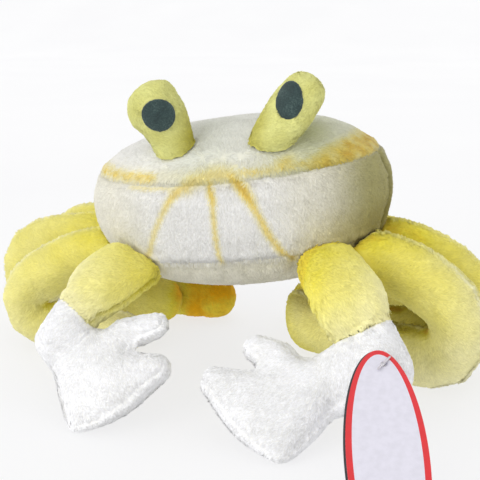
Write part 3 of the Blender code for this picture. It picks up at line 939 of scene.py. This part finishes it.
def arm_move(normals, side, share, root, end):
    """Sag along the arm, and slimmer sides, in mm."""
    sag = np.stack((root, 1 - root - end, end), 1) @ np.array(ARM_SHIFTS[side])
    right = normals @ np.array(VIEW_RIGHT)
    near, far = ARM_NIPS[side]
    nip = near * np.maximum(right, 0) * ease(0.02, 0.2, share) - far * np.maximum(-right, 0) * end
    return sag - nip[:, None] * np.array(VIEW_RIGHT)


class CRAB_OT_sew_arms(bpy.types.Operator):
    """Both upper arms, with the seam groove along the lower edge."""

    bl_idname = "crab.sew_arms"
    bl_label = "Sew the arms"

    def execute(self, context):
        settings = context.scene.crab
        for number, side in enumerate(SIDES):
            skin = sew(f"arm_{side}_skin", "arm", (f"arm_{side}",), SHELL_MIDDLE, settings)
            mesh = skin.data
            points, normals = points_of(mesh), normals_of(mesh)
            share = share_of(mesh)
            root, end = ease(0.3, 0.0, share), ease(0.6, 1.0, share)
            across = unit(np.cross(main_axis(points), ARM_SEAMS[side]))
            around = ease(0.1, 0.5, normals @ unit(np.array(ARM_SEAMS[side])))
            away = np.arcsin(np.clip(normals @ across, -1, 1)) * ARM_ROUND
            points += arm_move(normals, side, share, root, end) * MM
            seam = bump_of(away, 0, ARM_SEAM) * around
            beside = bump_of(np.abs(away), 3.0 * MM, 1.6 * MM) * around
            height = 0.6 * MM * beside - 1.5 * settings.seam_depth * seam
            height += settings.pucker * ripples(points, 4 * MM) * beside
            set_points(mesh, points + normals * height[:, None])
            base, drop, rise = ARM_DYE[side]
            dye = base - drop * ease(0.25, 1.0, share)
            # the seam's groove gets deeper dye here and, in the tint below, painted shade
            dye += rise * ease(0.35, 0.08, share) + 0.3 * seam * (1 - root)
            dye = np.minimum(dye + 0.05 * ripples(points, 14 * MM), MOST_ARM_DYE)
            clothe(skin, "yellow plush", dye, 1.02 * (1 - 0.32 * seam)[:, None])
            grow_coat(f"arm_{side}_coat", skin, settings, "yellow plush", along_reach(mesh), 40 + number)
        return {"FINISHED"}


def shape_claw(mesh, side, apart):
    """Smooths the joint of cuff and palm, and slims and bends the cuff."""
    points = points_of(mesh)
    reach = stored(mesh, "reach")
    joint = 0.6 * bump_of(apart, 0, 6 * MM)[:, None]
    for _ in range(100):
        points += joint * (neighbour_mean(mesh, points) - points)
    set_points(mesh, points)
    rim = ease(9 * MM, 0, reach - reach.min()) * (1 - stored(mesh, "touch"))
    points = points - normals_of(mesh) * (CUFF_RIM_IN * rim)[:, None]
    if side == LEFT:
        points[:, 0] -= LEFT_CLAW_LEAN * ease(6 * MM, 26 * MM, points[:, 2])
    else:
        corner = np.array(ORIGIN) + np.array(CUFF_CORNER) * MM
        near = bump_of(np.linalg.norm(points - corner, axis=1), 0, 15 * MM)
        points[:, 0] -= CUFF_CORNER_IN * near
    set_points(mesh, points)


def claw_seams(mesh, side, apart, settings):
    """Height of the ridge and groove round the flat claw, and of the stitches at the cuff."""
    points, normals = points_of(mesh), normals_of(mesh)
    u, v = (Vector(row) for row in CLAW_PLANES[side])
    flat = np.array(u.cross(v).normalized())
    height = points[:, 2] / MM
    hand = ease(22 * MM, 32 * MM, stored(mesh, "reach")) * ease(2, 7, height)
    away = (np.abs(normals @ flat) - CLAW_SEAM) * CLAW_EDGE
    ridge = 0.35 * MM * bump_of(away, -1.8 * MM, 1.3 * MM) - 0.55 * MM * bump_of(away, 0, 0.8 * MM)
    ridge += 0.6 * settings.pucker * ripples(points, 3.5 * MM) * bump_of(away, -1 * MM, 2 * MM)
    stitch = 0.45 * MM * bump_of(apart, 0, 1.0 * MM) * ease(3, 8, height)
    return ridge * hand - stitch


class CRAB_OT_sew_claws(bpy.types.Operator):
    """Flat mitten claws, each sewn to its cuff, with a seam inside the edge."""

    bl_idname = "crab.sew_claws"
    bl_label = "Sew the claws"

    def execute(self, context):
        settings = context.scene.crab
        for number, side in enumerate(SIDES):
            low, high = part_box(f"arm_{side}")
            nodes = (f"cuff_{side}", *(f"claw_{part}_{side}" for part in ("palm", "finger", "thumb")))
            skin = sew(f"claw_{side}_skin", "claw", nodes, (low + high) / 2, settings)
            mesh = skin.data
            apart = np.maximum(*(distance_from((name,), points_of(mesh)) for name in nodes[:2]))
            shape_claw(mesh, side, apart)
            points = points_of(mesh)
            height = claw_seams(mesh, side, apart, settings)
            set_points(mesh, points + normals_of(mesh) * height[:, None])
            clothe(skin, "claw plush", np.zeros(len(points)), 1.0)
            nap, off_floor = along_reach(mesh), ease(0.5, 1.8, points[:, 2] / MM)
            grow_coat(f"claw_{side}_coat", skin, settings, "claw plush", nap, 52 + number, 0.75, off_floor)
        return {"FINISHED"}


# --- eyes ---

HEADS = {  # in mm: swell of the head, the way it bulges and by how much, and the nip on its other side
    LEFT: {"swell": 0.7, "way": (-0.8, -0.2, -0.2), "bulge": 1.2, "nip": 1.9},
    RIGHT: {"swell": -0.3, "way": (-0.6, 0.0, 0.6), "bulge": 0.6, "nip": 0.8},
}
STALKS = {  # in mm: how much slimmer the neck is on its left, how much lower the top, and the foot's lean
    LEFT: {"neck": 2.0, "drop": 1.0, "lean": (-1.4, 0.0, 0.0)},
    RIGHT: {"neck": 0.0, "drop": -0.4, "lean": (-2.9, -4.5, -1.6)},
}
BEHIND = 1.0 * MM  # how far behind a pupil's face the cloth is tucked


def tuck_behind(mesh, name):
    """Moves the surface that stands in front of a thin piece to just behind it."""
    points, normals = points_of(mesh), normals_of(mesh)
    tree = tree_of((name,))
    for index, normal in enumerate(normals):
        place, facing, _, away = tree.find_nearest(Vector(points[index]))
        above = (points[index] - np.array(place)) @ np.array(facing)
        if away < 3 * MM and above > 0.9 * away and facing.dot(Vector(normal)) > 0.6:
            points[index] = np.array(place) - normal * BEHIND
    set_points(mesh, points)


def shape_head(mesh, side):
    """Rounds the stalk's top and swells its head, but leaves what lies under the pupil."""
    head, stalk = HEADS[side], STALKS[side]
    points = points_of(mesh)
    axis = main_axis(points)
    axis = axis * np.sign(axis[2])
    height = points @ axis
    height = (height - height.min()) / np.ptp(height)
    free = 1 - stored(mesh, "touch")
    for _ in range(60):
        share = 0.5 * ease(0.6, 0.9, height) * free
        points += share[:, None] * (neighbour_mean(mesh, points) - points)
    set_points(mesh, points)
    normals = normals_of(mesh)
    middle = bump_of(height, 0.66, 0.22) * free
    facing = normals @ unit(np.array(head["way"]))
    out = head["bulge"] * np.maximum(facing, 0) - head["nip"] * np.maximum(-facing, 0)
    out = middle * (head["swell"] + out) + 0.4 * head["swell"] * ease(0.8, 1.0, height) * free
    slim = stalk["neck"] * bump_of(height, 0.3, 0.22) * free * np.maximum(-normals[:, 0], 0)
    move = normals * (out - slim)[:, None]
    move -= axis * (stalk["drop"] * ease(0.75, 1.0, height) * free)[:, None]
    move += bump_of(height, 0.16, 0.34)[:, None] * np.array(stalk["lean"])
    set_points(mesh, points + move * MM)
    tuck_behind(mesh, f"pupil_{side}")


class CRAB_OT_sew_eyes(bpy.types.Operator):
    """Club-shaped eye stalks with flat felt pupils."""

    bl_idname = "crab.sew_eyes"
    bl_label = "Sew the eye stalks"

    def execute(self, context):
        settings = context.scene.crab
        felt = felt_material()
        for number, side in enumerate(SIDES):
            eye = f"pupil_{side}"
            skin = sew(f"stalk_{side}_skin", "stalk", (f"eye_stalk_{side}",), SHELL_MIDDLE, settings)
            mesh = skin.data
            shape_head(mesh, side)
            points = points_of(mesh)
            share = share_of(mesh)
            # darker olive towards the foot: partly airbrushed dye, partly painted shade where the stalk
            # meets the shell
            dye = 0.12 + 0.75 * ease(0.5, 0.1, share) + 0.15 * ripples(points, 12 * MM)
            clothe(skin, "stalk plush", dye, 0.98)
            nap, clear = along_reach(mesh), ease(0.5 * MM, 1.6 * MM, distance_from((eye,), points))
            grow_coat(f"stalk_{side}_coat", skin, settings, "stalk plush", nap, 60 + number, 0.8, clear)

            pupil = blank_form(f"{eye}_felt", "pupil", (eye,))
            refine(pupil, MESHES["pupil"][2])
            dress(pupil, felt)
            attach(pupil, "root")
            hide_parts(eye)
        return {"FINISHED"}


def felt_material():
    finish, tree, shader = blank_material("dark felt")
    where = node(tree, "ShaderNodeTexCoord")
    fibre = noise_of(tree, 1500, 4, where)
    patch = noise_of(tree, 160, 3, where)
    mixed = mix_of(tree, "MIX", 0.45, fibre.outputs["Fac"], patch.outputs["Fac"])
    stops = ((0.36, rgb(24, 42, 42)), (0.52, rgb(40, 60, 59)), (0.72, rgb(74, 94, 90)))
    colour = ramp_of(tree, stops, mixed)
    tree.links.new(colour.outputs["Color"], shader.inputs["Base Color"])
    set_shader(shader, Roughness=0.9, Sheen_Weight=0.25)
    add_relief(tree, shader, fibre, 0.5, 0.2 * MM)
    return finish


# --- tag ---

CARD_TOP = Vector((81.6, -103.5, 48.0)) * MM
CARD_FOOT = Vector((99.5, -199.0, 0.6)) * MM
CARD_ACROSS = Vector((0.99, 0.13, 0.0))
CARD_HALF_WIDTH = 15.9 * MM
HOLE_PLACE = Vector((2.0, -8.0, 0.0)) * MM
HOLE_RADIUS = 1.5 * MM
CARD_POINTS = 120
CARD_BEVEL = 0.08 * MM
BORDER_RINGS = (2, 3)  # rings of faces, out from the hole, that have the border's colour


def card_place():
    """Matrix from the card's own frame: x across, y up its length and z out of its face."""
    up = (CARD_TOP - CARD_FOOT).normalized()
    across = (CARD_ACROSS - up * CARD_ACROSS.dot(up)).normalized()
    turn = Matrix((across, up, across.cross(up))).transposed().to_4x4()
    return Matrix.Translation(ORIGIN + (CARD_TOP + CARD_FOOT) / 2) @ turn


def oval(half_width, half_length, height, middle=(0, 0, 0)):
    turns = [2 * math.pi * i / CARD_POINTS for i in range(CARD_POINTS)]
    ring = [Vector((half_width * math.cos(t), half_length * math.sin(t), height)) for t in turns]
    return [Vector(middle) + point for point in ring]


def leaf(name, border, hole, shift, low, high, colours):
    """One card leaf with a hole; its face has a border ring of another colour."""
    half_length = (CARD_TOP - CARD_FOOT).length / 2
    shape = bmesh.new()
    rings = [
        oval(HOLE_RADIUS, HOLE_RADIUS, low, hole),
        oval(CARD_HALF_WIDTH, half_length, low),
        oval(CARD_HALF_WIDTH, half_length, high - CARD_BEVEL),
        oval(CARD_HALF_WIDTH - CARD_BEVEL, half_length - CARD_BEVEL, high),
        oval(CARD_HALF_WIDTH - border, half_length - border, high),
        oval(HOLE_RADIUS, HOLE_RADIUS, high, hole),
    ]
    loops = [[shape.verts.new(p + Vector((shift, 0, 0))) for p in ring] for ring in rings]
    loops.append(loops[0])
    for number, (inner, outer) in enumerate(zip(loops, loops[1:])):
        for i in range(CARD_POINTS):
            j = (i + 1) % CARD_POINTS
            face = shape.faces.new((inner[i], outer[i], outer[j], inner[j]))
            face.material_index = int(number in BORDER_RINGS)
    bmesh.ops.recalc_face_normals(shape, faces=shape.faces)
    shape.transform(card_place())
    mesh = mesh_of(shape, name)
    for colour in colours:
        mesh.materials.append(colour)
    return new_object(name, mesh)


def card_material(name, colour, roughness):
    """Coated card: faint paper mottle and a soft gloss."""
    finish, tree, shader = blank_material(name)
    where = node(tree, "ShaderNodeTexCoord")
    paper = noise_of(tree, 350, 4, where)
    darker = tuple(c * 0.93 for c in colour[:3]) + (1.0,)
    tint = ramp_of(tree, ((0.35, darker), (0.65, colour)), paper.outputs["Fac"])
    tree.links.new(tint.outputs["Color"], shader.inputs["Base Color"])
    set_shader(shader, Roughness=roughness, Coat_Weight=0.25, Coat_Roughness=0.2)
    add_relief(tree, shader, paper, 0.08, 0.1 * MM)
    return finish


class CRAB_OT_make_tag(bpy.types.Operator):
    """Bare two-leaf hang tag with a red border, and its clear fastener."""

    bl_idname = "crab.make_tag"
    bl_label = "Make the tag"

    def execute(self, context):
        half_length = (CARD_TOP - CARD_FOOT).length / 2
        hole = Vector((0, half_length, 0)) + HOLE_PLACE
        paper = card_material("tag paper", rgb(208, 206, 217), 0.45)
        red = card_material("tag red", rgb(206, 16, 28), 0.35)
        black = card_material("tag black", rgb(24, 24, 30), 0.35)
        front = leaf("tag_front_leaf", 2.5 * MM, hole, 0, 0.04 * MM, 0.45 * MM, (paper, red))
        back = leaf("tag_back_leaf", 2.0 * MM, hole, -0.9 * MM, -0.45 * MM, -0.04 * MM, (paper, black))
        for thing in (front, back):
            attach(thing, "root")
        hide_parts("tag_card")

        clear, tree, shader = blank_material("clear plastic")
        where = node(tree, "ShaderNodeTexCoord")
        cloud = noise_of(tree, 500, 2, where)
        milky = ramp_of(tree, ((0.4, rgb(205, 200, 205)), (0.6, rgb(228, 226, 230))), cloud.outputs["Fac"])
        tree.links.new(milky.outputs["Color"], shader.inputs["Base Color"])
        set_shader(shader, Roughness=0.25, Transmission_Weight=0.35)
        thing = new_object("fastener", mesh_of(node_shape("tag_fastener"), "fastener"))
        refine(thing, 1)
        dress(thing, clear)
        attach(thing, "root")
        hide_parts("tag_fastener")
        return {"FINISHED"}


# --- stage ---


FLOOR_HALF = 8.0
FLOOR_FRONT = 4.0
FLOOR_BACK = 3.0
BEND = 2.0  # radius of the curve from the floor up into the backdrop

SUNS = {  # direction that each soft sun shines from, and how wide its disc is, in degrees
    "key": ((-0.5, -0.85, 0.35), 50),
    "fill": ((0.95, -0.35, 0.06), 65),
    "top": ((-0.15, 0.35, 1.0), 80),
    "side": ((-1.0, -0.3, 0.15), 70),
}
CAMERA_PLACE = Vector((112.5, -487.2, 193.0)) * MM
CAMERA_TILT = 14.2  # degrees down
CAMERA_TURN = 13.18  # degrees to the left
CAMERA_LENS = 71.3  # in mm, on a sensor 36 mm wide
CAMERA_SHIFT = -0.00625


def soft_sun(name, towards, strength, spread):
    """Sun that shines from the direction towards, with its disc spread wide for soft shadows."""
    lamp = bpy.data.lights.new(name, "SUN")
    lamp.energy = strength
    lamp.angle = math.radians(spread)
    thing = new_object(name, lamp)
    thing.rotation_euler = Vector(towards).to_track_quat("Z", "Y").to_euler()


class CRAB_OT_set_stage(bpy.types.Operator):
    """Pale floor, soft studio lights and the camera."""

    bl_idname = "crab.set_stage"
    bl_label = "Set the stage"

    def execute(self, context):
        settings = context.scene.crab
        shape = bmesh.new()
        turns = [math.radians(10 * step) for step in range(10)]
        sweep = [(FLOOR_BACK + BEND * math.sin(t), BEND * (1 - math.cos(t))) for t in turns]
        profile = [(-FLOOR_FRONT, 0.0), *sweep, (FLOOR_BACK + BEND, BEND * 3)]
        rows = [[shape.verts.new((x, y, z)) for y, z in profile] for x in (-FLOOR_HALF, FLOOR_HALF)]
        for a, b, c, d in zip(rows[0], rows[0][1:], rows[1][1:], rows[1]):
            shape.faces.new((a, d, c, b))
        mesh = mesh_of(shape, "floor")
        mesh.polygons.foreach_set("use_smooth", np.ones(len(mesh.polygons), bool))
        floor = new_object("floor", mesh)
        finish, tree, shader = blank_material("floor")
        where = node(tree, "ShaderNodeTexCoord")
        dust = noise_of(tree, 3, 2, where)
        pale = ramp_of(tree, ((0.3, rgb(118, 118, 119)), (0.7, rgb(123, 123, 123))), dust.outputs["Fac"])
        tree.links.new(pale.outputs["Color"], shader.inputs["Base Color"])
        set_shader(shader, Roughness=0.7, Specular_IOR_Level=0.1)
        set_shader(shader, Emission_Color=rgb(249, 249, 250), Emission_Strength=settings.glow)
        mesh.materials.append(finish)

        world = bpy.data.worlds.new("studio")
        world.use_nodes = True
        world.node_tree.nodes["Background"].inputs["Color"].default_value = rgb(250, 250, 250)
        world.node_tree.nodes["Background"].inputs["Strength"].default_value = settings.world
        context.scene.world = world
        for name, (towards, spread) in SUNS.items():
            soft_sun(name, towards, getattr(settings, f"{name}_light"), spread)
        context.scene.view_settings.view_transform = "Standard"

        lens = bpy.data.cameras.new("camera")
        lens.lens = CAMERA_LENS
        lens.shift_x = CAMERA_SHIFT
        camera = new_object("camera", lens)
        camera.location = ORIGIN + CAMERA_PLACE
        camera.rotation_euler = (math.radians(90 - CAMERA_TILT), 0, math.radians(CAMERA_TURN))
        context.scene.camera = camera
        return {"FINISHED"}


# --- add-on ---


def amount(name, description, default, **more):
    return FloatProperty(name=name, description=description, default=default, **more)


def metric(name, description, millimetres):
    return amount(name, description, millimetres * MM, unit="LENGTH")


class CrabSettings(bpy.types.PropertyGroup):
    """Sizes and strengths that the operators read."""

    coat_length: metric("Coat length", "Length of a tuft", 3.0)
    coat_width: metric("Coat width", "Width of a tuft", 0.6)
    coat_lift: metric("Coat lift", "Height of a tuft's ridge over the skin", 0.65)
    coat_depth: metric("Coat depth", "How far the skin lies inside the frame", 0.6)
    tufts_per_mm2: amount("Density", "Tufts on each square millimetre", 2.08)
    roundness: amount("Roundness", "How round the tufts look", 0.32)
    stray: amount("Stray", "How far tufts turn from the nap", 0.32, unit="ROTATION")
    glint: amount("Glint", "How unevenly tufts catch the light", 0.12)
    mottle: amount("Mottle", "How much the tufts' shades differ", 0.035)
    patch: amount("Patch", "Width of a tuft's place on its UV map", 0.003)
    press: metric("Press", "How far pieces press into each other", 0.08)
    pressure: amount("Pressure", "Pressure of the stuffing", 4.0)
    most_puff: metric("Most puff", "How far the stuffing may push the cloth", 0.8)
    fill: amount("Fill", "How full the stuffing is", 0.8, subtype="FACTOR")
    seam_depth: metric("Seam depth", "Depth of a seam's groove", 0.9)
    pucker: metric("Pucker", "Height of the puckers beside a seam", 0.25)
    lumps: metric("Lumps", "Height of the stuffing's soft lumps", 0.4)
    world: amount("World", "Strength of the light from all round", 0.92)
    glow: amount("Glow", "Light that the pale floor gives back", 0.76)
    key_light: amount("Key light", "Strength of the main light", 1.2)
    fill_light: amount("Fill light", "Strength of the low light from the right", 0.7)
    top_light: amount("Top light", "Strength of the light from above", 0.25)
    side_light: amount("Side light", "Strength of the low light from the left", 0.4)


OPERATORS = (
    CRAB_OT_set_stage,
    CRAB_OT_sew_shell,
    CRAB_OT_sew_legs,
    CRAB_OT_sew_arms,
    CRAB_OT_sew_claws,
    CRAB_OT_sew_eyes,
    CRAB_OT_make_tag,
)


class CRAB_PT_panel(bpy.types.Panel):
    """The settings, and a button for each operator."""

    bl_idname = "CRAB_PT_panel"
    bl_label = "Ghost crab toy"
    bl_space_type = "VIEW_3D"
    bl_region_type = "UI"
    bl_category = "Crab"

    def draw(self, context):
        settings = context.scene.crab
        for name in settings.__annotations__:
            self.layout.prop(settings, name)
        for operator in OPERATORS:
            self.layout.operator(operator.bl_idname)


def register():
    for kind in (CrabSettings, *OPERATORS, CRAB_PT_panel):
        bpy.utils.register_class(kind)
    bpy.types.Scene.crab = PointerProperty(type=CrabSettings)


def unregister():
    del bpy.types.Scene.crab
    for kind in (CRAB_PT_panel, *reversed(OPERATORS), CrabSettings):
        bpy.utils.unregister_class(kind)


def main():
    register()
    for operator in OPERATORS:
        group, name = operator.bl_idname.split(".")
        if getattr(getattr(bpy.ops, group), name)() != {"FINISHED"}:
            raise RuntimeError(f"{operator.bl_label}: not finished")


if __name__ == "__main__":
    main()
